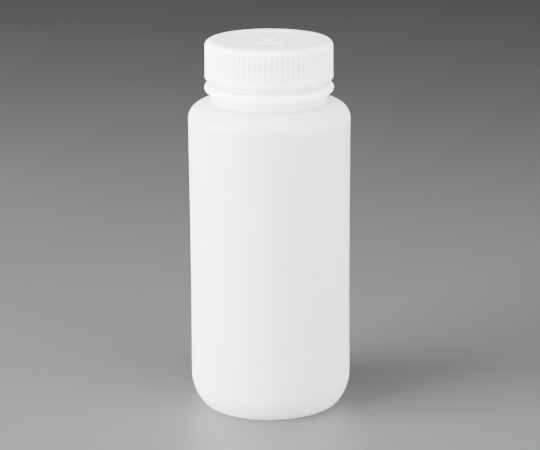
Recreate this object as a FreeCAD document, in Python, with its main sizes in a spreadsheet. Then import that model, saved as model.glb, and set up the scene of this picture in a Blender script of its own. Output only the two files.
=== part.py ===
import FreeCAD, Part
import math
import os
import re
import Sketcher

# A wide-mouth plastic reagent bottle with its screw cap and the sealing liner inside the cap.
# The origin is the centre of the base on the surface that the bottle stands on, and +Z is up.

# Driving dimensions: alias, value in millimetres, degrees or a plain count, and meaning.
DIMENSIONS = [
    ("body_radius", 36.5, "outside of the side wall where the shoulder starts"),
    ("heel_radius", 36.7, "outside of the side wall where the heel starts"),
    ("wall", 1.25, "thickness of the side wall, heel and shoulder"),
    ("waist_radius", 36.35, "outside of the side wall's slight waist"),
    ("waist_low", 55.0, "height where the waist starts"),
    ("waist_high", 98.0, "height where the waist ends"),
    ("heel_height", 13.5, "height where the heel's curve meets the side wall"),
    ("heel_curve", 20.3, "radius of the heel's curve"),
    ("contact_radius", 31.5, "where the heel's curve meets the ground, before rounding"),
    ("base_lift", 3.6, "height of the underside's middle above the ground"),
    ("base_curve", 220.0, "radius of the shallow dome under the bottle"),
    ("panel_radius", 26.5, "radius of the pushed-up part of the base"),
    ("panel_lift", 2.0, "height of the pushed-up part's rim"),
    ("ring_width", 2.0, "width of the ring that the bottle stands on, before rounding"),
    ("floor_wall", 1.7, "thickness of the base"),
    ("shoulder_height", 133.7, "height where the shoulder's curve starts"),
    ("shoulder_curve", 6.8, "radius of the shoulder's lower, tighter curve"),
    ("shoulder_top", 141.15, "height of the shoulder's flat top"),
    ("shoulder_flat", 28.1, "radius where the shoulder becomes flat"),
    ("root_radius", 26.2, "outside of the neck between shoulder and bead"),
    ("root_curve", 3.7, "inside radius where the neck opens into the shoulder"),
    ("bead_height", 147.9, "height of the bead's widest point"),
    ("bead_radius", 29.0, "outside of the bead"),
    ("bead_curve", 1.8, "radius of the bead's round edge"),
    ("bead_foot", 144.6, "height where the bead's lower slope meets the neck"),
    ("neck_radius", 25.3, "outside of the neck under the thread"),
    ("mouth_radius", 22.8, "inside of the mouth"),
    ("throat_top", 152.0, "height below which the inside of the neck widens"),
    ("throat_foot", 147.0, "height where that widening ends"),
    ("lip_height", 166.8, "height of the lip"),
    ("thread_pitch", 4.2, "rise of the screw thread in one turn"),
    ("thread_turns", 1.5, "turns of thread on the neck, and in the cap"),
    ("thread_start", 157.4, "height of the neck thread's lower end"),
    ("thread_radius", 26.5, "crest of the thread on the neck"),
    ("thread_crest", 1.0, "width of the neck thread's crest"),
    ("thread_foot", 2.7, "width of the neck thread's foot"),
    ("thread_sink", 0.4, "depth that each thread's foot is sunk in its wall"),
    ("thread_drop", 1.55, "how far the cap's thread lies under the neck's thread"),
    ("cap_thread_radius", 25.65, "crest of the thread in the cap"),
    ("cap_thread_crest", 0.9, "width of the cap thread's crest"),
    ("cap_thread_foot", 2.4, "width of the cap thread's foot"),
    ("cap_bottom", 152.0, "height of the cap's lower edge"),
    ("cap_top", 169.4, "height of the cap's flat top"),
    ("cap_plate", 1.9, "thickness of the cap's top"),
    ("cap_radius", 28.65, "outside of the ribs on the cap"),
    ("cap_bore", 26.9, "inside of the cap's skirt"),
    ("cap_edge", 2.7, "radius of the cap's round top edge"),
    ("band_radius", 28.8, "outside of the smooth band under the ribs"),
    ("band_top", 155.0, "height of the smooth band's upper edge"),
    ("band_step", 0.15, "height of the small step between the band and the ribs"),
    ("rib_count", 74, "number of ribs round the cap"),
    ("full_turn", 360.0, "a whole turn, which the ribs are spread over"),
    ("rib_depth", 0.4, "depth of the grooves between the ribs"),
    ("rib_groove", 0.65, "radius of the grooves between the ribs"),
    ("catch_radius", 26.3, "inside of the small ring that keeps the liner in the cap"),
    ("catch_height", 166.1, "height of that ring"),
    ("catch_half", 0.5, "half of that ring's height"),
    ("liner_radius", 26.6, "outside of the sealing liner"),
    ("mark_height", 0.35, "how far the marks stand out of the cap's top"),
    ("gate_radius", 2.2, "inside of the ring round the moulding gate"),
    ("mark_width", 0.9, "width of the marks' lines"),
    ("arrow_radius", 10.0, "radius of the curved turning arrow"),
    ("arrow_sweep", 70.0, "angle of the arrow's shaft"),
    ("arrow_head", 2.6, "width of the arrow's head"),
    ("arrow_point", 2.5, "length of the arrow's head"),
    ("tick_count", 17, "number of ticks in the row at the back of the top, one for each rib"),
    ("tick_radius", 19.8, "inner end of the ticks"),
    ("tick_length", 4.2, "length of the ticks"),
    ("lip_round", 0.5, "rounding of the lip and of the inside of the cap's lower edge"),
    ("skirt_round", 1.2, "rounding of the outside of the cap's lower edge"),
    ("ring_round", 0.8, "rounding at the outside of the ring that the bottle stands on"),
    ("base_round", 1.5, "rounding of the base's inner corners"),
    ("root_round", 1.7, "rounding where the neck meets the shoulder"),
    ("neck_round", 0.9, "rounding where the neck meets the bead"),
]
SIZES = {alias: value for alias, value, meaning in DIMENSIONS}

NAME = re.compile("[a-z_]+")
LEFT, RIGHT = 1, -1
FIND_RING = 0.3  # how near, in millimetres, a circular edge is to the ring that is asked for

doc = FreeCAD.newDocument("reagent_bottle")


def make_sheet():
    """Writes the driving dimensions into the document's spreadsheet."""
    sheet = doc.addObject("Spreadsheet::Sheet", "sheet")
    for row, (alias, value, meaning) in enumerate(DIMENSIONS, 1):
        sheet.set("A%d" % row, meaning)
        sheet.set("B%d" % row, str(value))
        sheet.setAlias("B%d" % row, alias)
    doc.recompute()


def bound(formula):
    """A formula of the sheet's names, such as "cap_radius - cap_edge", as an expression that reads it."""
    return NAME.sub(lambda name: "sheet." + name[0], formula)


def amount(formula):
    """What such a formula comes to."""
    return FreeCAD.Units.Quantity(NAME.sub(lambda name: str(SIZES[name[0]]), formula)).Value


def new_body(name):
    body = doc.addObject("PartDesign::Body", name)
    body.Label = name
    return body


def origin_feature(body, role):
    return next(f for f in body.Origin.OriginFeatures if f.Role == role)


def new_sketch(body, name, plane, lift=None, turned=None):
    """A sketch on one of the body's own origin planes, raised and turned by formulas."""
    sketch = body.newObject("Sketcher::SketchObject", name)
    sketch.AttachmentSupport = [(origin_feature(body, plane), "")]
    sketch.MapMode = "FlatFace"
    if lift:
        sketch.setExpression(".AttachmentOffset.Base.z", bound(lift))
    if turned:
        sketch.setExpression(".AttachmentOffset.Rotation.Angle", bound(turned))
    return sketch


def constrain(sketch, formula, kind, *where):
    """Adds a dimension whose value is a formula of the sheet's names."""
    index = sketch.addConstraint(Sketcher.Constraint(kind, *where, amount(formula)))
    sketch.setExpression("Constraints[%d]" % index, bound(formula))


def line():
    return {"turn": 0, "radius": None, "centre": None}


def arc(turn, radius, centre=None):
    """An edge that turns LEFT or RIGHT about a centre that may be given as (across, up)."""
    return {"turn": turn, "radius": radius, "centre": centre}


def guess(formula):
    """The number that the solver starts from. A formula that starts with ~ is no more than that."""
    return amount(formula.lstrip("~"))


def arc_geometry(start, end, turn, radius):
    """The short arc from start to end that turns to the given side."""
    chord = end - start
    reach = math.sqrt(max(radius ** 2 - (chord.Length / 2) ** 2, 0))
    side = FreeCAD.Vector(-chord.y, chord.x, 0).normalize() * turn
    centre = (start + end) * 0.5 + side * reach
    angles = [math.atan2(p.y - centre.y, p.x - centre.x) for p in (start, end)]
    first, last = angles if turn == LEFT else reversed(angles)
    circle = Part.Circle(centre, FreeCAD.Vector(0, 0, 1), radius)
    return Part.ArcOfCircle(circle, first, last if last > first else last + 2 * math.pi)


def place(sketch, point, across, up):
    """Binds a point's two coordinates, leaving free the ones that start with ~."""
    for formula, kind, axis in ((across, "DistanceX", -2), (up, "DistanceY", -1)):
        if formula.startswith("~"):
            continue
        if formula == "0":
            sketch.addConstraint(Sketcher.Constraint("PointOnObject", *point, axis))
        else:
            constrain(sketch, formula, kind, -1, 1, *point)


def draw_outline(sketch, corners):
    """Draws a closed outline. Each corner is (across, up, edge that leaves it, smooth or not)."""
    points = [FreeCAD.Vector(guess(c[0]), guess(c[1]), 0) for c in corners]
    ends = []
    for i, (_, _, edge, _) in enumerate(corners):
        start, end = points[i], points[(i + 1) % len(points)]
        if edge["turn"] == 0:
            geometry = Part.LineSegment(start, end)
        else:
            geometry = arc_geometry(start, end, edge["turn"], guess(edge["radius"]))
        index = sketch.addGeometry(geometry)
        ends.append(((index, 1), (index, 2)) if edge["turn"] != RIGHT else ((index, 2), (index, 1)))
    for i, (across, up, edge, smooth) in enumerate(corners):
        kind = "Tangent" if smooth else "Coincident"
        sketch.addConstraint(Sketcher.Constraint(kind, *ends[i - 1][1], *ends[i][0]))
        place(sketch, ends[i][0], across, up)
        if edge["turn"] and not edge["radius"].startswith("~"):
            constrain(sketch, edge["radius"], "Radius", ends[i][0][0])
        if edge["centre"]:
            place(sketch, (ends[i][0][0], 3), *edge["centre"])


def revolve(body, name, sketch):
    turned = body.newObject("PartDesign::Revolution", name)
    turned.Profile = sketch
    turned.ReferenceAxis = (sketch, ["V_Axis"])
    turned.Angle = 360
    doc.recompute()
    return turned


def round_rings(body, name, radius, rings):
    """Rounds the circular edges about the Z axis at the given (radius, height) formulas."""
    base = body.Tip
    names = []
    for across, up in rings:
        for i, edge in enumerate(base.Shape.Edges, 1):
            if edge.Degenerated or not isinstance(edge.Curve, Part.Circle):
                continue
            ring = edge.Curve
            if math.hypot(ring.Radius - guess(across), ring.Center.z - guess(up)) < FIND_RING:
                names.append("Edge%d" % i)
    assert len(names) == len(rings), (name, names)
    fillet = body.newObject("PartDesign::Fillet", name)
    fillet.Base = (base, names)
    fillet.setExpression("Radius", bound(radius))
    doc.recompute()


def add_thread(body, name, foot_radius, crest_radius, start, foot, crest):
    """A right-hand helical ridge with a trapezoid section, which starts on the +X side."""
    sketch = new_sketch(body, name + "_section", "XZ_Plane")
    corners = [
        (foot_radius, "%s - %s / 2" % (start, foot)),
        (crest_radius, "%s - %s / 2" % (start, crest)),
        (crest_radius, "%s + %s / 2" % (start, crest)),
        (foot_radius, "%s + %s / 2" % (start, foot)),
    ]
    draw_outline(sketch, [(across, up, line(), False) for across, up in corners])
    thread = body.newObject("PartDesign::AdditiveHelix", name)
    thread.Profile = sketch
    thread.ReferenceAxis = (sketch, ["V_Axis"])
    thread.Mode = "pitch-turns-angle"
    thread.setExpression("Pitch", bound("thread_pitch"))
    thread.setExpression("Turns", bound("thread_turns"))
    thread.LeftHanded = False
    doc.recompute()


def polar_pattern(body, name, original, count, angle):
    pattern = body.newObject("PartDesign::PolarPattern", name)
    pattern.Originals = [original]
    pattern.Axis = (origin_feature(body, "Z_Axis"), [""])
    pattern.setExpression("Occurrences", bound(count))
    pattern.setExpression("Angle", bound(angle))
    body.Tip = pattern
    doc.recompute()
    return pattern


def make_bottle():
    body = new_body("bottle")
    section = new_sketch(body, "bottle_section", "XZ_Plane")
    draw_outline(section, [
        # Outside, from the middle of the base up to the lip.
        ("0", "base_lift", arc(RIGHT, "base_curve"), False),
        ("panel_radius", "panel_lift", line(), False),
        ("contact_radius - ring_width", "0", line(), False),
        ("~contact_radius", "0", arc(LEFT, "heel_curve"), False),
        ("heel_radius", "heel_height", line(), True),
        ("waist_radius", "waist_low", line(), False),
        ("waist_radius", "waist_high", line(), False),
        ("body_radius", "shoulder_height", arc(LEFT, "shoulder_curve"), True),
        ("~body_radius - shoulder_curve / 3", "~shoulder_height + shoulder_curve / 1.4",
         arc(LEFT, "~shoulder_curve * 1.3"), True),
        ("shoulder_flat", "shoulder_top", line(), True),
        ("root_radius", "shoulder_top", line(), False),
        ("root_radius", "bead_foot", line(), False),
        ("~bead_radius - bead_curve / 3", "~bead_height - bead_curve / 1.3",
         arc(LEFT, "bead_curve", ("bead_radius - bead_curve", "bead_height")), True),
        ("bead_radius - bead_curve", "~bead_height + bead_curve", line(), False),
        ("neck_radius", "bead_height + bead_curve", line(), False),
        ("neck_radius", "lip_height", line(), False),
        # Inside, from the lip down to the middle of the floor.
        ("mouth_radius", "lip_height", line(), False),
        ("mouth_radius", "throat_top", line(), False),
        ("shoulder_flat - root_curve", "throat_foot", line(), False),
        ("shoulder_flat - root_curve", "shoulder_top - wall + root_curve", arc(LEFT, "root_curve"), False),
        ("shoulder_flat", "shoulder_top - wall", arc(RIGHT, "~shoulder_curve"), True),
        ("~body_radius - wall - shoulder_curve / 4", "~shoulder_height + shoulder_curve / 1.8",
         arc(RIGHT, "shoulder_curve - wall"), True),
        ("body_radius - wall", "shoulder_height", line(), True),
        ("waist_radius - wall", "waist_high", line(), False),
        ("waist_radius - wall", "waist_low", line(), False),
        ("heel_radius - wall", "heel_height", arc(RIGHT, "heel_curve - wall"), True),
        ("~contact_radius", "floor_wall", line(), False),
        ("contact_radius - ring_width", "floor_wall", line(), False),
        ("panel_radius", "panel_lift + floor_wall", arc(LEFT, "base_curve"), False),
        ("0", "base_lift + floor_wall", line(), False),
    ])
    revolve(body, "bottle_shell", section)
    round_rings(body, "ring_rounding", "ring_round", [("contact_radius", "0")])
    round_rings(body, "base_rounding", "base_round", [
        ("panel_radius", "panel_lift"),
        ("contact_radius - ring_width", "0"),
        ("panel_radius", "panel_lift + floor_wall"),
        ("contact_radius - ring_width", "floor_wall"),
        ("contact_radius", "floor_wall"),
    ])
    round_rings(body, "root_rounding", "root_round", [("root_radius", "shoulder_top")])
    round_rings(body, "neck_rounding", "neck_round", [("root_radius", "bead_foot")])
    round_rings(body, "lip_rounding", "lip_round", [
        ("neck_radius", "bead_height + bead_curve"),
        ("neck_radius", "lip_height"),
        ("mouth_radius", "lip_height"),
    ])
    add_thread(body, "neck_thread", "neck_radius - thread_sink", "thread_radius",
               "thread_start", "thread_foot", "thread_crest")
    return body


def make_cap():
    body = new_body("screw_cap")
    section = new_sketch(body, "cap_section", "XZ_Plane")
    draw_outline(section, [
        ("cap_bore", "cap_bottom", line(), False),
        ("band_radius", "cap_bottom", line(), False),
        ("band_radius", "band_top", line(), False),
        ("cap_radius", "band_top + band_step", line(), False),
        ("cap_radius", "cap_top - cap_edge", arc(LEFT, "cap_edge"), False),
        ("cap_radius - cap_edge", "cap_top", line(), False),
        ("0", "cap_top", line(), False),
        ("0", "cap_top - cap_plate", line(), False),
        ("cap_bore", "cap_top - cap_plate", line(), False),
        ("cap_bore", "catch_height + catch_half", line(), False),
        ("catch_radius", "catch_height", line(), False),
        ("cap_bore", "catch_height - catch_half", line(), False),
    ])
    revolve(body, "cap_shell", section)
    round_rings(body, "skirt_rounding", "skirt_round", [("band_radius", "cap_bottom")])
    round_rings(body, "bore_rounding", "lip_round", [("cap_bore", "cap_bottom")])
    add_thread(body, "cap_thread", "cap_bore + thread_sink", "cap_thread_radius",
               "thread_start - thread_drop", "cap_thread_foot", "cap_thread_crest")
    cut_ribs(body)
    add_marks(body)
    return body


def cut_ribs(body):
    """Cuts the round grooves that leave the ribs standing, from the band up to the round top edge."""
    sketch = new_sketch(body, "groove_section", "XY_Plane", lift="band_top + band_step")
    across = "cap_radius - rib_depth + rib_groove"
    centre = FreeCAD.Vector(amount(across), 0, 0)
    sketch.addGeometry(Part.Circle(centre, FreeCAD.Vector(0, 0, 1), amount("rib_groove")))
    sketch.addConstraint(Sketcher.Constraint("PointOnObject", 0, 3, -1))
    constrain(sketch, across, "DistanceX", -1, 1, 0, 3)
    constrain(sketch, "rib_groove", "Radius", 0)
    before = body.Tip.Shape.Volume
    groove = body.newObject("PartDesign::Pocket", "rib_groove_cut")
    groove.Profile = sketch
    groove.Reversed = True
    groove.setExpression("Length", bound("cap_top - band_top"))
    doc.recompute()
    assert groove.Shape.Volume < before, "the groove cuts nothing"
    polar_pattern(body, "rib_grooves", groove, "rib_count", "full_turn")


def raise_mark(body, name, draw, turned=None):
    """Pads a sketch drawn by draw() on the cap's flat top, turned about the Z axis from the +X side."""
    sketch = new_sketch(body, name + "_outline", "XY_Plane", lift="cap_top", turned=turned)
    draw(sketch)
    pad = body.newObject("PartDesign::Pad", name)
    pad.Profile = sketch
    pad.setExpression("Length", bound("mark_height"))
    doc.recompute()
    return pad


def draw_gate_ring(sketch):
    """Two circles about the Z axis, one line width apart."""
    for formula in ("gate_radius", "gate_radius + mark_width"):
        circle = Part.Circle(FreeCAD.Vector(0, 0, 0), FreeCAD.Vector(0, 0, 1), amount(formula))
        index = sketch.addGeometry(circle)
        sketch.addConstraint(Sketcher.Constraint("Coincident", index, 3, -1, 1))
        constrain(sketch, formula, "Radius", index)


def draw_tick(sketch):
    """A small radial bar on the sketch's X axis."""
    inner, outer = "tick_radius", "tick_radius + tick_length"
    draw_outline(sketch, [
        (inner, "-mark_width / 2", line(), False),
        (outer, "-mark_width / 2", line(), False),
        (outer, "mark_width / 2", line(), False),
        (inner, "mark_width / 2", line(), False),
    ])


def draw_arrow_shaft(sketch):
    """A curved bar about the Z axis that starts on the sketch's X axis."""
    sweep = math.radians(SIZES["arrow_sweep"])
    for index, formula in enumerate(("arrow_radius - mark_width / 2", "arrow_radius + mark_width / 2")):
        circle = Part.Circle(FreeCAD.Vector(0, 0, 0), FreeCAD.Vector(0, 0, 1), amount(formula))
        sketch.addGeometry(Part.ArcOfCircle(circle, 0, sweep))
        sketch.addConstraint(Sketcher.Constraint("Coincident", index, 3, -1, 1))
        sketch.addConstraint(Sketcher.Constraint("PointOnObject", index, 1, -1))
        constrain(sketch, formula, "Radius", index)
    inner, outer = sketch.Geometry
    for start, end, corner in ((inner.StartPoint, outer.StartPoint, 1), (inner.EndPoint, outer.EndPoint, 2)):
        index = sketch.addGeometry(Part.LineSegment(start, end))
        sketch.addConstraint(Sketcher.Constraint("Coincident", index, 1, 0, corner))
        sketch.addConstraint(Sketcher.Constraint("Coincident", index, 2, 1, corner))
    sketch.addConstraint(Sketcher.Constraint("PointOnObject", -1, 1, index))
    constrain(sketch, "arrow_sweep", "Angle", index)


def draw_arrow_head(sketch):
    """A triangle whose base lies on the sketch's X axis."""
    draw_outline(sketch, [
        ("arrow_radius - arrow_head / 2", "0", line(), False),
        ("arrow_radius + arrow_head / 2", "0", line(), False),
        ("arrow_radius", "arrow_point", line(), False),
    ])


def add_marks(body):
    """Plain marks on the cap's top: a ring round the gate, a turning arrow in front and ticks at the back."""
    raise_mark(body, "gate_ring", draw_gate_ring)
    raise_mark(body, "arrow_shaft", draw_arrow_shaft, turned="-90 - arrow_sweep / 2")
    raise_mark(body, "arrow_head", draw_arrow_head, turned="-90 + arrow_sweep / 2")
    row = "full_turn / rib_count * (tick_count - 1)"
    tick = raise_mark(body, "tick", draw_tick, turned="90 - %s / 2" % row)
    polar_pattern(body, "tick_row", tick, "tick_count", row)


def make_liner():
    """A plain foam disc that fills the gap between the lip and the cap's top."""
    disc = doc.addObject("Part::Cylinder", "sealing_liner")
    disc.Label = "sealing_liner"
    disc.setExpression("Radius", bound("liner_radius"))
    disc.setExpression("Height", bound("cap_top - cap_plate - lip_height"))
    disc.setExpression(".Placement.Base.z", bound("lip_height"))
    return disc


def check_document():
    """Stops if any object failed to compute, or if a sketch has a size that nothing sets."""
    doc.recompute()
    for item in doc.Objects:
        assert "Invalid" not in item.State and "Error" not in item.State, (item.Name, item.State)
        assert not item.isDerivedFrom("Sketcher::SketchObject") or item.FullyConstrained, item.Name


def export(nodes):
    os.makedirs("parts", exist_ok=True)
    for node in nodes:
        shape = node.Shape
        assert not shape.isNull() and shape.isValid() and len(shape.Solids) == 1, node.Label
        shape.exportStep("parts/%s.step" % node.Label)
        print("%s: %.1f cm3" % (node.Label, shape.Volume / 1000))


make_sheet()
nodes = [make_bottle(), make_cap(), make_liner()]
check_document()
export(nodes)
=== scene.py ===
import math

import bpy
import numpy as np
from mathutils import Matrix, Vector


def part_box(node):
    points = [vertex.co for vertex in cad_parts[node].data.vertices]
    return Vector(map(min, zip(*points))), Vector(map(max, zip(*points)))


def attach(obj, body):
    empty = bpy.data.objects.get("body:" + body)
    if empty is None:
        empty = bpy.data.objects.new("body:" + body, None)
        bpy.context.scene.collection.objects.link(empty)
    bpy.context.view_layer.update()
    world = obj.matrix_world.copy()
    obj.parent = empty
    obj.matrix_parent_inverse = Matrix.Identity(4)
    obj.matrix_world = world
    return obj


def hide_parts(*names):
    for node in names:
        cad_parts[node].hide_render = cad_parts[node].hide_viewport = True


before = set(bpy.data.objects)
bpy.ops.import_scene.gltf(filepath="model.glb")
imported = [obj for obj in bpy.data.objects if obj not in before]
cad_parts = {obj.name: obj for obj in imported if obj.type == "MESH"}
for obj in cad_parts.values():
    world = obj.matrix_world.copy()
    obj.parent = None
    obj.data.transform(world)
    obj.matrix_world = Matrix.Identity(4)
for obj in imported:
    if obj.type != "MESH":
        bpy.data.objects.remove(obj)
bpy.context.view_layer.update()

# A milky wide-mouth reagent bottle with a ribbed screw cap and the liner inside it. Outlines are half
# sections, as (radius, height) in millimetres, and are turned about the bottle's axis. Objects are in metres.
MM = 0.001

bottle_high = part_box("bottle")[1]
cap_low, cap_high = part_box("screw_cap")
liner_low, liner_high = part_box("sealing_liner")

# Heights and radii that come from the frame, and how far the marks stand out of the cap's flat top.
MARK = 0.35
HEEL_R = bottle_high.x / MM
LIP_Z = bottle_high.z / MM
CAP_BOTTOM = cap_low.z / MM
CAP_TOP = cap_high.z / MM - MARK
BAND_R = cap_high.x / MM
LINER_R = liner_high.x / MM
LINER_BOTTOM = liner_low.z / MM
LINER_TOP = liner_high.z / MM

# The bottle's own shape.
WALL = 1.25
FLOOR_WALL = 1.7
HEEL_Z, HEEL_CURVE = 13.5, 20.3
WAIST_R, WAIST_LOW, WAIST_HIGH = 36.35, 55.0, 98.0
WAIST_BLEND = 14.0
SHOULDER_R, SHOULDER_Z, SHOULDER_CURVE = 36.5, 133.7, 6.8
SHOULDER_TOP, SHOULDER_FLAT = 141.15, 28.1
ROOT_R, ROOT_CURVE = 26.2, 3.7
BEAD_R, BEAD_Z, BEAD_CURVE, BEAD_FOOT = 29.0, 147.9, 1.8, 144.6
NECK_R, MOUTH_R = 25.3, 22.8
THROAT_TOP, THROAT_FOOT = 152.0, 147.0
DOME_CURVE, BASE_LIFT = 220.0, 3.6
PANEL_R, FOOT_IN = 26.5, 29.5

# The bottle's roundings, as how far each reaches from its corner along the outline: the rim of the base's
# panel, both edges of the ring that the bottle stands on, the neck's root, the neck at the bead, the lip,
# both ends of the throat's slope, and the floor at the heel and at the panel's slope.
PANEL_ROUND = 1.6
RING_IN_ROUND, RING_OUT_ROUND = 0.9, 0.45
ROOT_ROUND, NECK_ROUND, LIP_ROUND = 1.7, 0.5, 0.5
THROAT_TOP_ROUND, THROAT_FOOT_ROUND = 1.8, 1.5
FLOOR_HEEL_ROUND, FLOOR_SLOPE_ROUND = 0.9, 0.7

# The screw thread, the same helix on the neck and in the cap. RUN_OUT is the part of a turn in which an end
# of the thread fades. A flank is the middle FLANK_SHARE of an S curve, which begins at FLANK_START.
PITCH, TURNS = 4.2, 1.5
THREAD_START, THREAD_DROP = 157.4, 1.55
NECK_THREAD = {"depth": 1.2, "foot": 2.27, "crest": 1.0}
CAP_THREAD = {"depth": 1.25, "foot": 2.03, "crest": 0.9}
RUN_OUT = 0.05
FLANK_SHARE, FLANK_START = 0.9, 0.05

# The cap's own shape.
RIB_R, CAP_BORE, CAP_PLATE, CAP_EDGE = 28.65, 26.9, 1.9, 2.7
SKIRT_ROUND, BORE_ROUND, STEP_ROUND, RIB_FOOT_ROUND = 1.2, 0.5, 0.12, 0.05
BAND_TOP, BAND_STEP = 155.0, 0.15
RIBS, RIB_DEPTH, RIB_TOOL, RIB_RUN_OUT = 74, 0.4, 0.65, 0.7
CATCH_R, CATCH_Z, CATCH_HALF, CATCH_ROUND = 26.3, 166.1, 0.5, 0.25

# The marks on the cap's top: the ring round the gate and the stub in it, which is STUB_RISE times as high,
# the turning arrow, whose point is cut off at TIP_CUT of its head, and the ticks. Soft edges are MARK_EDGE
# wide, except at the ticks' sides and at the ends of the arrow's shaft, where ARROW_EDGE is in degrees.
# ARROW_HALF, HEAD_ANGLE and the directions FRONT and BACK are in degrees too.
GATE_R, STUB_R, STUB_RISE, LINE = 2.2, 0.7, 0.5, 0.9
ARROW_R, ARROW_HALF, HEAD_HALF, HEAD_ANGLE = 10.0, 35.0, 1.3, 14.0
TICK_R, TICK_LONG, TICK_COUNT = 19.8, 4.2, 17
MARK_EDGE, TICK_EDGE, ARROW_EDGE = 0.12, 0.15, 0.7
TIP_CUT = 0.04
FRONT, BACK = -90, 90

# The liner: how deep the lip has pressed into it, how wide that groove's slopes are, and how round its rims.
PRESSED, PRESS_SLOPE, LINER_ROUND = 0.08, 0.5, 0.2

# How fine the meshes are: columns round the bottle and the liner and across each rib, points along the
# base's dome and the side wall, and the width of a row at the threads, the marks and the feet of the ribs.
BOTTLE_COLUMNS, LINER_COLUMNS, RIB_COLUMNS = 256, 192, 8
DOME_POINTS, SIDE_POINTS = 22, 34
NECK_ROW, CAP_ROW, MARK_ROW, RIB_ROW = 0.14, 0.15, 0.12, 0.15

# How far the fine rows reach past the threads and marks, and how far from the lip and from the cap's round
# edge they stop. RIB_ROWS is how high they go at the feet of the ribs.
NECK_MARGIN, LIP_MARGIN, CAP_MARGIN = 2.2, 1.0, 1.4
MARK_MARGIN, GATE_MARGIN, EDGE_MARGIN = 0.3, 0.2, 0.5
RIB_ROWS = 0.9

# On the cap's lower edge, the bore's last ring and the skirt's first lie this far past the bore's rounding.
BORE_END, SKIRT_START = 0.02, 0.1

# Points this near to a wall's radius or to the cap's top belong to it.
NEAR = 0.01


# ---- outlines -------------------------------------------------------------------------------------

def arc(centre, radius, start, end, steps):
    """Points on a circle in the section, from one angle in degrees to another."""
    turn = np.radians(np.linspace(start, end, steps + 1))
    return np.stack([centre[0] + radius * np.cos(turn), centre[1] + radius * np.sin(turn)], 1)


def line(*points, step=None):
    """Straight runs through the points, cut into pieces no longer than step."""
    out = [np.array(points[0], float)]
    for a, b in zip(points, points[1:]):
        a, b = np.array(a, float), np.array(b, float)
        cuts = 1 if step is None else max(1, math.ceil(np.linalg.norm(b - a) / step))
        out += [a + (b - a) * k / cuts for k in range(1, cuts + 1)]
    return np.array(out)


def trim(points, reach):
    """A stretch of outline without its first reach millimetres."""
    walked = 0.0
    for k in range(len(points) - 1):
        run = np.linalg.norm(points[k + 1] - points[k])
        if walked + run > reach:
            cut = points[k] + (points[k + 1] - points[k]) * (reach - walked) / run
            return np.vstack([cut, points[k + 1:]])
        walked += run
    return points[-1:]


def chain(*parts, steps=5):
    """Joins stretches end to start. A number between two of them rounds that corner, and says how far the
    rounding reaches each way."""
    path, reach = np.array(parts[0], float), 0.0
    for part in parts[1:]:
        if np.isscalar(part):
            reach = part
            continue
        part = np.array(part, float)
        if reach:
            corner = path[-1]
            path, part = trim(path[::-1], reach)[::-1], trim(part, reach)
            t = np.linspace(0, 1, steps + 2)[1:-1, None]
            bend = (1 - t) ** 2 * path[-1] + 2 * t * (1 - t) * corner + t ** 2 * part[0]
            path, reach = np.vstack([path, bend, part]), 0.0
        else:
            path = np.vstack([path, part[1:]])
    return path


def soft_ramp(x, blend):
    """x where x is positive, 0 where it is negative, with a smooth bend between."""
    return np.where(x > blend, x, np.where(x < -blend, 0.0, (x + blend) ** 2 / (4 * blend)))


def side_radius(z):
    """Outside of the side wall: a straight waist that opens gently towards the heel and the shoulder."""
    down = soft_ramp(WAIST_LOW - z, WAIST_BLEND) * (HEEL_R - WAIST_R) / (WAIST_LOW - HEEL_Z)
    up = soft_ramp(z - WAIST_HIGH, WAIST_BLEND) * (SHOULDER_R - WAIST_R) / (SHOULDER_Z - WAIST_HIGH)
    return WAIST_R + down + up


def shoulder(inset):
    """The shoulder's two curves, from the side wall up to the flat, moved inwards by inset."""
    low = np.array([SHOULDER_R - SHOULDER_CURVE, SHOULDER_Z])
    gap = SHOULDER_TOP - SHOULDER_Z - SHOULDER_CURVE
    across = low[0] - SHOULDER_FLAT
    spare = (across ** 2 + gap ** 2) / (2 * gap)
    high = np.array([SHOULDER_FLAT, SHOULDER_TOP - SHOULDER_CURVE - spare])
    meet = math.degrees(math.atan2(low[1] - high[1], low[0] - high[0]))
    low_curve = arc(low, SHOULDER_CURVE - inset, 0, meet, steps=7)
    high_curve = arc(high, SHOULDER_CURVE + spare - inset, meet, 90, steps=8)
    return chain(low_curve, high_curve)


def bead():
    """The bead's sloped foot and round edge, from the neck below it to its top."""
    centre = (BEAD_R - BEAD_CURVE, BEAD_Z)
    foot = (ROOT_R, BEAD_FOOT)
    across, up = foot[0] - centre[0], foot[1] - centre[1]
    swing = math.acos(BEAD_CURVE / math.hypot(across, up))
    leave = math.degrees(math.atan2(up, across) + swing)
    edge = arc(centre, BEAD_CURVE, leave, 90, steps=16)
    return chain(line(foot, edge[0]), edge)


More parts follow.
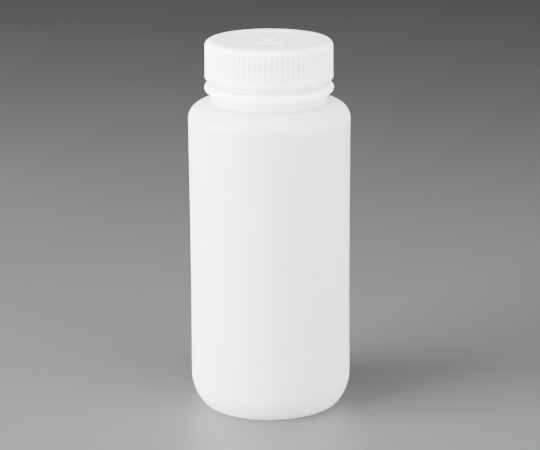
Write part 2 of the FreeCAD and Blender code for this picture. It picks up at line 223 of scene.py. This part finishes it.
def bottle_outline():
    """From the middle of the underside out and up to the lip, then down the inside to the middle of the
    floor."""
    dome_r = np.linspace(0.0, PANEL_R, DOME_POINTS)
    dome = np.stack([dome_r, BASE_LIFT - dome_r ** 2 / (2 * DOME_CURVE)], 1)
    floor_dome = dome + [0, FLOOR_WALL]
    heel, inner_curve = (HEEL_R - HEEL_CURVE, HEEL_Z), HEEL_CURVE - WALL
    drop = math.degrees(math.asin(HEEL_Z / HEEL_CURVE))
    inner_drop = math.degrees(math.asin((HEEL_Z - FLOOR_WALL) / inner_curve))
    heel_foot = (heel[0] + HEEL_CURVE * math.cos(math.radians(drop)), 0.0)
    floor_edge = (heel[0] + inner_curve * math.cos(math.radians(inner_drop)), FLOOR_WALL)
    side_z = np.linspace(HEEL_Z, SHOULDER_Z, SIDE_POINTS)
    side = np.stack([side_radius(side_z), side_z], 1)
    bead_top = BEAD_Z + BEAD_CURVE
    rows_low, rows_high = THREAD_START - NECK_MARGIN, LIP_Z - LIP_MARGIN
    neck = chain(
        line((NECK_R, bead_top), (NECK_R, rows_low), step=1.2),
        line((NECK_R, rows_low), (NECK_R, rows_high), step=NECK_ROW),
        line((NECK_R, rows_high), (NECK_R, LIP_Z)),
    )
    outside = chain(
        dome, PANEL_ROUND,
        line(dome[-1], (FOOT_IN, 0.0)), RING_IN_ROUND,
        line((FOOT_IN, 0.0), heel_foot), RING_OUT_ROUND,
        arc(heel, HEEL_CURVE, -drop, 0, steps=16), side, shoulder(0),
        line((SHOULDER_FLAT, SHOULDER_TOP), (ROOT_R, SHOULDER_TOP)), ROOT_ROUND,
        line((ROOT_R, SHOULDER_TOP), (ROOT_R, BEAD_FOOT), step=0.8), NECK_ROUND,
        bead(), line((BEAD_R - BEAD_CURVE, bead_top), (NECK_R, bead_top)), NECK_ROUND,
        neck, LIP_ROUND,
        line((NECK_R, LIP_Z), (MOUTH_R, LIP_Z)),
    )
    throat = SHOULDER_FLAT - ROOT_CURVE
    root_z = SHOULDER_TOP - WALL + ROOT_CURVE
    inside = chain(
        line((MOUTH_R, LIP_Z), (MOUTH_R, THROAT_TOP), step=3.0), THROAT_TOP_ROUND,
        line((MOUTH_R, THROAT_TOP), (throat, THROAT_FOOT), step=1.5), THROAT_FOOT_ROUND,
        line((throat, THROAT_FOOT), (throat, root_z), step=1.0),
        arc((SHOULDER_FLAT, root_z), ROOT_CURVE, 180, 270, steps=8),
        shoulder(WALL)[::-1], (side - [WALL, 0])[::-1],
        arc(heel, inner_curve, 0, -inner_drop, steps=14), FLOOR_HEEL_ROUND,
        line(floor_edge, (FOOT_IN, FLOOR_WALL)), FLOOR_SLOPE_ROUND,
        line((FOOT_IN, FLOOR_WALL), floor_dome[-1]), PANEL_ROUND,
        floor_dome[::-1],
    )
    return chain(outside, LIP_ROUND, inside)


# ---- meshes ---------------------------------------------------------------------------------------

def make_object(name, verts, faces):
    """A smooth-shaded mesh object, from vertices in millimetres."""
    mesh = bpy.data.meshes.new(name)
    mesh.from_pydata((np.asarray(verts) * MM).tolist(), [], faces)
    mesh.validate()
    mesh.polygons.foreach_set("use_smooth", [True] * len(mesh.polygons))
    mesh.update()
    piece = bpy.data.objects.new(name, mesh)
    bpy.context.scene.collection.objects.link(piece)
    return piece


def turn(name, sections):
    """A closed mesh from sections of one outline, each (points, angles, shape). The outline starts and ends
    on the axis. shape moves a grid of radii and heights. A section may have twice as many angles as the one
    before."""
    verts = [[0.0, 0.0, sections[0][0][0][1]]]
    faces, last_ring = [], None
    for number, (points, angles, shape) in enumerate(sections):
        first = 1 if number == 0 else 0
        stop = len(points) - 1 if number == len(sections) - 1 else len(points)
        rows = np.asarray(points)[first:stop]
        radius = np.repeat(rows[:, :1], len(angles), 1)
        height = np.repeat(rows[:, 1:], len(angles), 1)
        if shape:
            radius, height = shape(radius, height, angles[None, :])
        grid = np.stack([radius * np.cos(angles), radius * np.sin(angles), height], 2)
        for row in grid:
            count = len(angles)
            ring = np.arange(len(verts), len(verts) + count)
            verts.extend(row)
            after = np.roll(ring, -1)
            if last_ring is None:
                faces += [(0, b, a) for a, b in zip(ring.tolist(), after.tolist())]
            elif len(last_ring) == count:
                quads = np.stack([last_ring, np.roll(last_ring, -1), after, ring], 1)
                faces += quads.tolist()
            else:
                fans = [last_ring, np.roll(last_ring, -1), np.roll(ring, -2)[::2], after[::2], ring[::2]]
                faces += np.stack(fans, 1).tolist()
            last_ring = ring
    verts.append([0.0, 0.0, sections[-1][0][-1][1]])
    end = len(verts) - 1
    faces += [(a, b, end) for a, b in zip(last_ring.tolist(), np.roll(last_ring, -1).tolist())]
    return make_object(name, verts, faces)


def even_angles(count):
    """Angles in radians, spread evenly over a whole turn."""
    return np.arange(count) * 2 * math.pi / count


def smooth_step(x):
    """0 up to x = 0 and 1 from x = 1, with an S curve between."""
    x = np.clip(x, 0, 1)
    return x * x * (3 - 2 * x)


def ridge(height, angle, start, depth, foot, crest):
    """How far the helical thread stands out, with both its ends run out."""
    out = np.zeros(np.broadcast(height, angle).shape)
    for lap in range(math.ceil(TURNS) + 1):
        along = angle / (2 * math.pi) + lap
        away = np.abs(height - start - PITCH * along)
        rise = smooth_step((foot / 2 - away) / (foot / 2 - crest / 2) * FLANK_SHARE + FLANK_START)
        rise = np.where(away < foot / 2, rise, 0)
        ends = smooth_step(along / RUN_OUT) * smooth_step((TURNS - along) / RUN_OUT)
        out = np.maximum(out, depth * rise * ends)
    return out


def neck_shape(radius, height, angle):
    """Raises the thread on the outside of the neck."""
    on_neck = (np.abs(radius - NECK_R) < NEAR) & (height > THREAD_START - NECK_MARGIN)
    return radius + on_neck * ridge(height, angle, THREAD_START, **NECK_THREAD), height


def cap_bore_shape(radius, height, angle):
    """Raises the thread on the inside of the cap."""
    on_bore = np.abs(radius - CAP_BORE) < NEAR
    return radius - on_bore * ridge(height, angle, THREAD_START - THREAD_DROP, **CAP_THREAD), height


def make_bottle():
    return turn("bottle_shell", [(bottle_outline(), even_angles(BOTTLE_COLUMNS), neck_shape)])


def rib_shape(radius, height, angle):
    """Cuts the round grooves between the ribs. They run out in the cap's round top edge."""
    rib = 2 * math.pi / RIBS
    across = np.abs((angle + rib / 2) % rib - rib / 2) * RIB_R
    centre = RIB_R - RIB_DEPTH + RIB_TOOL
    inside = np.clip(RIB_TOOL ** 2 - across ** 2, 0, None)
    groove = np.where(across < RIB_TOOL, centre - np.sqrt(inside), RIB_R)
    start = BAND_TOP + BAND_STEP
    opening = smooth_step((height - start) / RIB_RUN_OUT)
    cut = np.clip(radius - groove, 0, None) * opening
    on_side = (height > start) & (height < CAP_TOP - NEAR)
    return radius - np.where(on_side, cut, 0), height


def below(x, limit, edge):
    """1 where x is below the limit and 0 above it, with a soft edge."""
    return smooth_step((limit - x) / edge + 0.5)


def band(x, low, high, edge=MARK_EDGE):
    """1 between low and high, 0 outside, with soft edges."""
    return below(low, x, edge) * below(x, high, edge)


def degrees_past(angle, direction):
    """How far an angle in radians is past a direction in degrees, from -180 to 180."""
    return (np.degrees(angle) - direction + 180) % 360 - 180


def mark_shape(radius, height, angle):
    """Raises plain marks on the cap's flat top: the gate's stub in a ring, a turning arrow at the front and
    a row of ticks at the back, one for each rib."""
    ring = band(radius, GATE_R, GATE_R + LINE)
    stub = STUB_RISE * below(radius, STUB_R, MARK_EDGE)
    turned = degrees_past(angle, FRONT)
    shaft = band(radius, ARROW_R - LINE / 2, ARROW_R + LINE / 2)
    shaft = shaft * band(turned, -ARROW_HALF, ARROW_HALF, ARROW_EDGE)
    to_tip = np.clip((ARROW_HALF + HEAD_ANGLE - turned) / HEAD_ANGLE, 0, 1)
    head = band(radius, ARROW_R - HEAD_HALF * to_tip, ARROW_R + HEAD_HALF * to_tip)
    head = head * (turned > ARROW_HALF) * (to_tip > TIP_CUT)
    rib = 360 / RIBS
    from_back = degrees_past(angle, BACK)
    number = np.round(from_back / rib)
    away = np.abs(np.radians(from_back - number * rib)) * radius
    ticks = band(radius, TICK_R, TICK_R + TICK_LONG) * below(away, LINE / 2, TICK_EDGE)
    ticks = ticks * (np.abs(number) <= TICK_COUNT // 2)
    raised = np.maximum.reduce([ring, stub, shaft, head, ticks])
    return radius, height + MARK * raised


def cap_bore():
    """From the middle of the plate's underside out, past the ring that keeps the liner in, and down the
    thread to the lower edge."""
    inner_top = CAP_TOP - CAP_PLATE
    catch = [(CAP_BORE, CATCH_Z + CATCH_HALF), (CATCH_R, CATCH_Z), (CAP_BORE, CATCH_Z - CATCH_HALF)]
    rows_low = THREAD_START - THREAD_DROP - CAP_MARGIN
    return chain(
        line((0, inner_top), (CAP_BORE, inner_top), step=4.0), STEP_ROUND,
        line((CAP_BORE, inner_top), catch[0]),
        line(catch[0], catch[1]), CATCH_ROUND,
        line(catch[1], catch[2]),
        line(catch[2], (CAP_BORE, rows_low), step=CAP_ROW),
        line((CAP_BORE, rows_low), (CAP_BORE, CAP_BOTTOM)), BORE_ROUND,
        line((CAP_BORE, CAP_BOTTOM), (CAP_BORE + BORE_ROUND + BORE_END, CAP_BOTTOM)),
    )


def cap_skirt():
    """From the lower edge up the smooth band and the ribs to the end of the round top edge."""
    start = BAND_TOP + BAND_STEP
    side_top = CAP_TOP - CAP_EDGE
    return chain(
        line((CAP_BORE + BORE_ROUND + SKIRT_START, CAP_BOTTOM), (BAND_R, CAP_BOTTOM)), SKIRT_ROUND,
        line((BAND_R, CAP_BOTTOM), (BAND_R, BAND_TOP), step=1.0), STEP_ROUND,
        line((BAND_R, BAND_TOP), (RIB_R, start)), RIB_FOOT_ROUND,
        line((RIB_R, start), (RIB_R, start + RIB_ROWS), step=RIB_ROW),
        line((RIB_R, start + RIB_ROWS), (RIB_R, side_top), step=4.0),
        arc((RIB_R - CAP_EDGE, side_top), CAP_EDGE, 0, 90, steps=14),
    )


def cap_flat():
    """The flat top, from its rim to its middle, with fine rows only where the edges of marks are."""
    tick_end = TICK_R + TICK_LONG
    fine_rows = [
        (tick_end + MARK_MARGIN, tick_end - MARK_MARGIN),
        (TICK_R + MARK_MARGIN, TICK_R - MARK_MARGIN),
        (ARROW_R + HEAD_HALF + MARK_MARGIN, ARROW_R - HEAD_HALF - MARK_MARGIN),
        (GATE_R + LINE + GATE_MARGIN, GATE_R - GATE_MARGIN),
        (STUB_R + GATE_MARGIN, 0),
    ]
    rim = [[RIB_R - CAP_EDGE - EDGE_MARGIN, CAP_TOP]]
    rows = [line((outer, CAP_TOP), (inner, CAP_TOP), step=MARK_ROW) for outer, inner in fine_rows]
    return np.vstack([rim, *rows])


def make_cap():
    fine, coarse = even_angles(RIBS * RIB_COLUMNS), even_angles(RIBS * RIB_COLUMNS // 2)
    return turn("cap_shell", [
        (cap_bore(), coarse, cap_bore_shape),
        (cap_skirt(), fine, rib_shape),
        (cap_flat(), fine, mark_shape),
    ])


def make_liner():
    """A foam disc with rounded rims and the shallow groove that the bottle's lip presses into it."""
    floor = LINER_BOTTOM + PRESSED
    groove = [
        (MOUTH_R, LINER_BOTTOM), (MOUTH_R + PRESS_SLOPE, floor),
        (NECK_R - PRESS_SLOPE, floor), (NECK_R, LINER_BOTTOM),
    ]
    lower = line((0, LINER_BOTTOM), *groove, (LINER_R, LINER_BOTTOM), step=1.2)
    rim = line((LINER_R, LINER_BOTTOM), (LINER_R, LINER_TOP))
    upper = line((LINER_R, LINER_TOP), (0, LINER_TOP), step=4.0)
    outline = chain(lower, LINER_ROUND, rim, LINER_ROUND, upper)
    return turn("liner_disc", [(outline, even_angles(LINER_COLUMNS), None)])


# ---- materials ------------------------------------------------------------------------------------

# Each material's colour wanders between two, and the raised marks on the cap get a lighter one: a painted
# highlight standing in for the light their edges catch.
POLYETHYLENE = [(0.835, 0.89, 0.95, 1), (0.865, 0.915, 0.967, 1)]
POLYPROPYLENE = [(0.932, 0.93, 0.922, 1), (0.95, 0.948, 0.94, 1)]
# Painted highlight: the cap's raised marks are coloured lighter than the cap to stand in for light on their
# edges.
MARK_HIGHLIGHT_COLOUR = (0.99, 0.99, 0.99, 1)
FOAM = [(0.82, 0.82, 0.79, 1), (0.9, 0.9, 0.88, 1)]
FLOOR = [(0.065, 0.065, 0.066, 1), (0.069, 0.069, 0.070, 1)]

# Most of a noise texture's values lie between these two.
NOISE_LOW, NOISE_HIGH = 0.35, 0.65


def new_material(name):
    material = bpy.data.materials.new(name)
    material.use_nodes = True
    tree = material.node_tree
    return material, tree, tree.nodes["Principled BSDF"]


def add_noise(tree, scale, detail=3.0, squeeze=None):
    """Noise in the object's own coordinates. squeeze has a factor for each axis, and one under 1 draws the
    noise out along its axis."""
    coords = tree.nodes.new("ShaderNodeTexCoord")
    noise = tree.nodes.new("ShaderNodeTexNoise")
    noise.inputs["Scale"].default_value = scale
    noise.inputs["Detail"].default_value = detail
    source = coords.outputs["Object"]
    if squeeze:
        mapping = tree.nodes.new("ShaderNodeMapping")
        mapping.inputs["Scale"].default_value = squeeze
        tree.links.new(source, mapping.inputs["Vector"])
        source = mapping.outputs["Vector"]
    tree.links.new(source, noise.inputs["Vector"])
    return noise.outputs["Fac"]


def ramp(tree, source, low, high):
    """Maps a noise value to a colour between low and high."""
    node = tree.nodes.new("ShaderNodeValToRGB")
    node.color_ramp.elements[0].position = NOISE_LOW
    node.color_ramp.elements[0].color = low
    node.color_ramp.elements[1].position = NOISE_HIGH
    node.color_ramp.elements[1].color = high
    tree.links.new(source, node.inputs["Fac"])
    return node.outputs["Color"]


def map_range(tree, source, start, stop, low=0.0, high=1.0):
    """low where the source is at start and high where it is at stop, with a straight run between."""
    node = tree.nodes.new("ShaderNodeMapRange")
    node.inputs["From Min"].default_value = start
    node.inputs["From Max"].default_value = stop
    node.inputs["To Min"].default_value = low
    node.inputs["To Max"].default_value = high
    tree.links.new(source, node.inputs["Value"])
    return node.outputs["Result"]


def add_bumps(tree, shader, layers):
    """Stacks bump layers, each (height source, distance in metres)."""
    normal = None
    for source, distance in layers:
        bump = tree.nodes.new("ShaderNodeBump")
        bump.inputs["Distance"].default_value = distance
        tree.links.new(source, bump.inputs["Height"])
        if normal:
            tree.links.new(normal, bump.inputs["Normal"])
        normal = bump.outputs["Normal"]
    tree.links.new(normal, shader.inputs["Normal"])


def object_axis(tree, axis):
    """One of the object's own coordinates, in metres."""
    coords = tree.nodes.new("ShaderNodeTexCoord")
    split = tree.nodes.new("ShaderNodeSeparateXYZ")
    tree.links.new(coords.outputs["Object"], split.inputs["Vector"])
    return split.outputs[axis]


def parting_line(tree, half_width):
    """1 on the mould's parting line, in the plane Y = 0, up both sides and across the base."""
    size = tree.nodes.new("ShaderNodeMath")
    size.operation = "ABSOLUTE"
    tree.links.new(object_axis(tree, "Y"), size.inputs[0])
    return map_range(tree, size.outputs["Value"], half_width, 0.0)


def blend(tree, factor, under, over):
    """The colour from the socket under where the factor is 0, and the plain colour over where it is 1."""
    node = tree.nodes.new("ShaderNodeMix")
    node.data_type = "RGBA"
    tree.links.new(factor, node.inputs["Factor"])
    tree.links.new(under, node.inputs["A"])
    node.inputs["B"].default_value = over
    return node.outputs["Result"]


def milky_plastic(name, colours, depth, rough, grain, wave, seam=0.0, mark_highlight=None):
    """Natural polyolefin: a white that light soaks into, a satin skin with a fine grain, and slight waves.
    seam is the height of a parting line. The last argument is a lighter colour painted on whatever stands out
    of the cap's flat top, a painted highlight for the light the raised marks catch."""
    material, tree, shader = new_material(name)
    shader.subsurface_method = "RANDOM_WALK"
    shader.inputs["Subsurface Weight"].default_value = 1.0
    shader.inputs["Subsurface Radius"].default_value = (1.0, 1.0, 1.0)
    shader.inputs["Subsurface Scale"].default_value = depth
    shader.inputs["IOR"].default_value = 1.5
    colour = ramp(tree, add_noise(tree, scale=35.0, detail=4.0), *colours)
    # Painted highlight: the raised marks on the cap's top turn a lighter colour than the plastic around them.
    if mark_highlight:
        raised = map_range(tree, object_axis(tree, "Z"), CAP_TOP * MM, (CAP_TOP + MARK) * MM)
        colour = blend(tree, raised, colour, mark_highlight)
    tree.links.new(colour, shader.inputs["Base Color"])
    gloss = map_range(tree, add_noise(tree, scale=180.0), NOISE_LOW, NOISE_HIGH, *rough)
    tree.links.new(gloss, shader.inputs["Roughness"])
    layers = [
        (add_noise(tree, scale=55.0, detail=1.0, squeeze=(1.0, 1.0, 0.35)), wave),
        (add_noise(tree, scale=2600.0, detail=2.0), grain),
    ]
    if seam:
        layers.append((parting_line(tree, half_width=0.3 * MM), seam))
    add_bumps(tree, shader, layers)
    return material


def foam():
    """Closed-cell foam with fine open pits."""
    material, tree, shader = new_material("liner_foam")
    shader.inputs["Subsurface Weight"].default_value = 0.3
    shader.inputs["Subsurface Scale"].default_value = 0.001
    shader.inputs["Roughness"].default_value = 0.75
    tree.links.new(ramp(tree, add_noise(tree, scale=600.0), *FOAM), shader.inputs["Base Color"])
    coords = tree.nodes.new("ShaderNodeTexCoord")
    cells = tree.nodes.new("ShaderNodeTexVoronoi")
    cells.inputs["Scale"].default_value = 2400.0
    tree.links.new(coords.outputs["Object"], cells.inputs["Vector"])
    add_bumps(tree, shader, [(cells.outputs["Distance"], 0.00012)])
    return material


def floor_material():
    """A plain, matt grey with a hardly visible change of tone."""
    material, tree, shader = new_material("studio_floor")
    tone = add_noise(tree, scale=3.0, detail=2.0)
    tree.links.new(ramp(tree, tone, *FLOOR), shader.inputs["Base Color"])
    shader.inputs["Roughness"].default_value = 0.5
    shader.inputs["Specular IOR Level"].default_value = 0.35
    return material


# ---- the object -----------------------------------------------------------------------------------

def fit_out(piece, body, node, material):
    """Gives a piece its material and its place in the frame."""
    piece.data.materials.append(material)
    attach(piece, body)
    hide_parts(node)


polyethylene = milky_plastic(
    "natural_polyethylene", POLYETHYLENE,
    depth=0.010, rough=(0.36, 0.46), grain=0.00002, wave=0.0003, seam=0.00006)
polypropylene = milky_plastic(
    "natural_polypropylene", POLYPROPYLENE,
    depth=0.008, rough=(0.30, 0.38), grain=0.00001, wave=0.0001, mark_highlight=MARK_HIGHLIGHT_COLOUR)
fit_out(make_bottle(), "bottle", "bottle", polyethylene)
fit_out(make_cap(), "cap", "screw_cap", polypropylene)
fit_out(make_liner(), "liner", "sealing_liner", foam())


# ---- studio ---------------------------------------------------------------------------------------

def make_floor(half_side):
    """A square on the ground, in millimetres like every mesh here."""
    corners = [(-half_side, -half_side, 0), (half_side, -half_side, 0),
               (half_side, half_side, 0), (-half_side, half_side, 0)]
    floor = make_object("studio_floor", corners, [(0, 1, 2, 3)])
    floor.data.materials.append(floor_material())


def aim(thing, place, target):
    """Puts a light or camera at a place, looking at the target."""
    look = (Vector(target) - Vector(place)).to_track_quat("-Z", "Y").to_matrix().to_4x4()
    thing.matrix_world = Matrix.Translation(Vector(place)) @ look


def soft_light(name, place, target, width, height, power):
    """A rectangular lamp, with its sides in metres and its power in watts."""
    lamp = bpy.data.lights.new(name, "AREA")
    lamp.shape = "RECTANGLE"
    lamp.size, lamp.size_y = width, height
    lamp.energy = power
    light = bpy.data.objects.new(name, lamp)
    bpy.context.scene.collection.objects.link(light)
    aim(light, place, target)


def make_world(strength):
    """Even white light from all round."""
    world = bpy.data.worlds.new("studio_world")
    bpy.context.scene.world = world
    world.use_nodes = True
    background = world.node_tree.nodes["Background"]
    background.inputs["Color"].default_value = (1, 1, 1, 1)
    background.inputs["Strength"].default_value = strength


def make_camera(target, distance, elevation, lens, aside):
    """A camera before the target and above it. It looks past the target to the right by aside degrees, and
    its lens is shifted so far that the target stays in the middle."""
    lens_data = bpy.data.cameras.new("camera")
    lens_data.lens = lens
    lens_data.sensor_width = 36
    rise, past = math.radians(elevation), math.radians(aside)
    lens_data.shift_x = -math.sin(past) * math.cos(rise) * lens / lens_data.sensor_width
    lens_data.clip_start, lens_data.clip_end = 0.01, 20
    camera = bpy.data.objects.new("camera", lens_data)
    bpy.context.scene.collection.objects.link(camera)
    ahead = Vector((0, math.cos(rise), -math.sin(rise))) * distance
    place = Vector(target) - ahead
    aim(camera, place, place + Matrix.Rotation(-past, 3, "Z") @ ahead)
    bpy.context.scene.camera = camera


middle = Vector((0, 0, CAP_TOP * MM / 2))
make_floor(half_side=4000.0)
make_world(strength=0.17)
soft_light("left", (-1.0, -0.42, 0.32), middle, width=1.0, height=0.3, power=152)
soft_light("right", (0.9, -0.6, 0.32), middle, width=1.0, height=0.3, power=64)
soft_light("top", (0.0, -0.05, 0.5), middle, width=0.3, height=0.3, power=4.4)
make_camera((0, 0, 0.0832), distance=0.9125, elevation=16.05, lens=132.85, aside=1.24)
